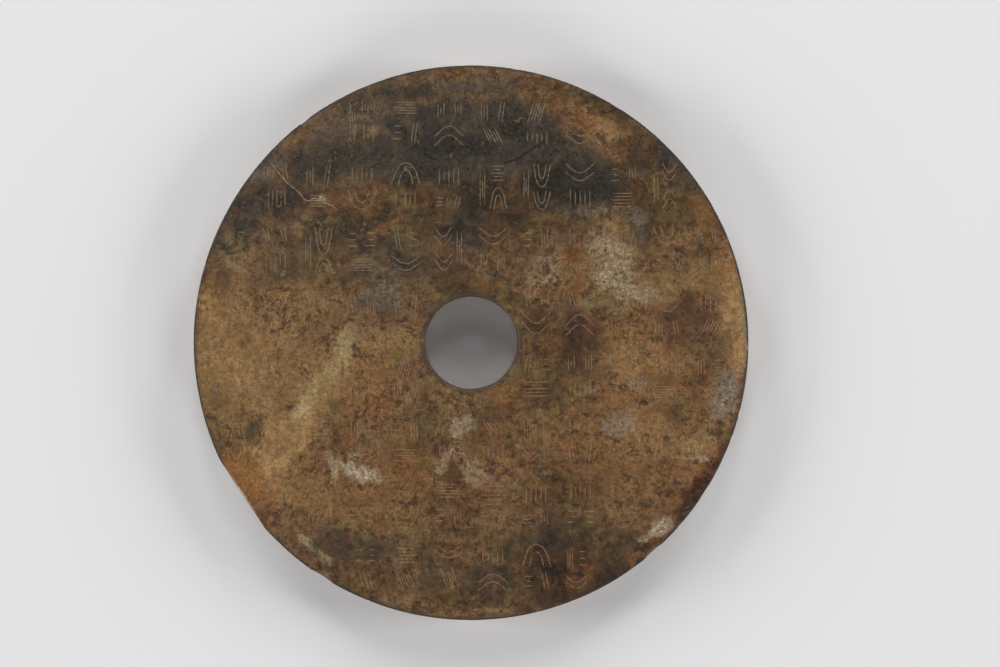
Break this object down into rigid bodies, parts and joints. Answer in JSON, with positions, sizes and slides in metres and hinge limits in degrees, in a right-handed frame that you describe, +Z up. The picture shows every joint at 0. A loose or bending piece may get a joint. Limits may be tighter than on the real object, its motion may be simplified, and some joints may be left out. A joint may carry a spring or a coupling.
{
  "type": "jade bi disc",
  "caption": "Flat round disc of brown altered jade with a round central hole and rows of fine incised strokes on one face.",
  "frame": {"origin": "centre of the disc on its plain underside", "axes": "+Z up out of the incised face, +Y towards the top of the inscription, +X to its right"},
  "size_m": [0.22, 0.22, 0.01],
  "materials": {
    "stone": "brown and grey altered jade with pale chalky patches, softly polished"
  },
  "bodies": {
    "root": {"bi_disc": "stone"}
  },
  "joints": []
}
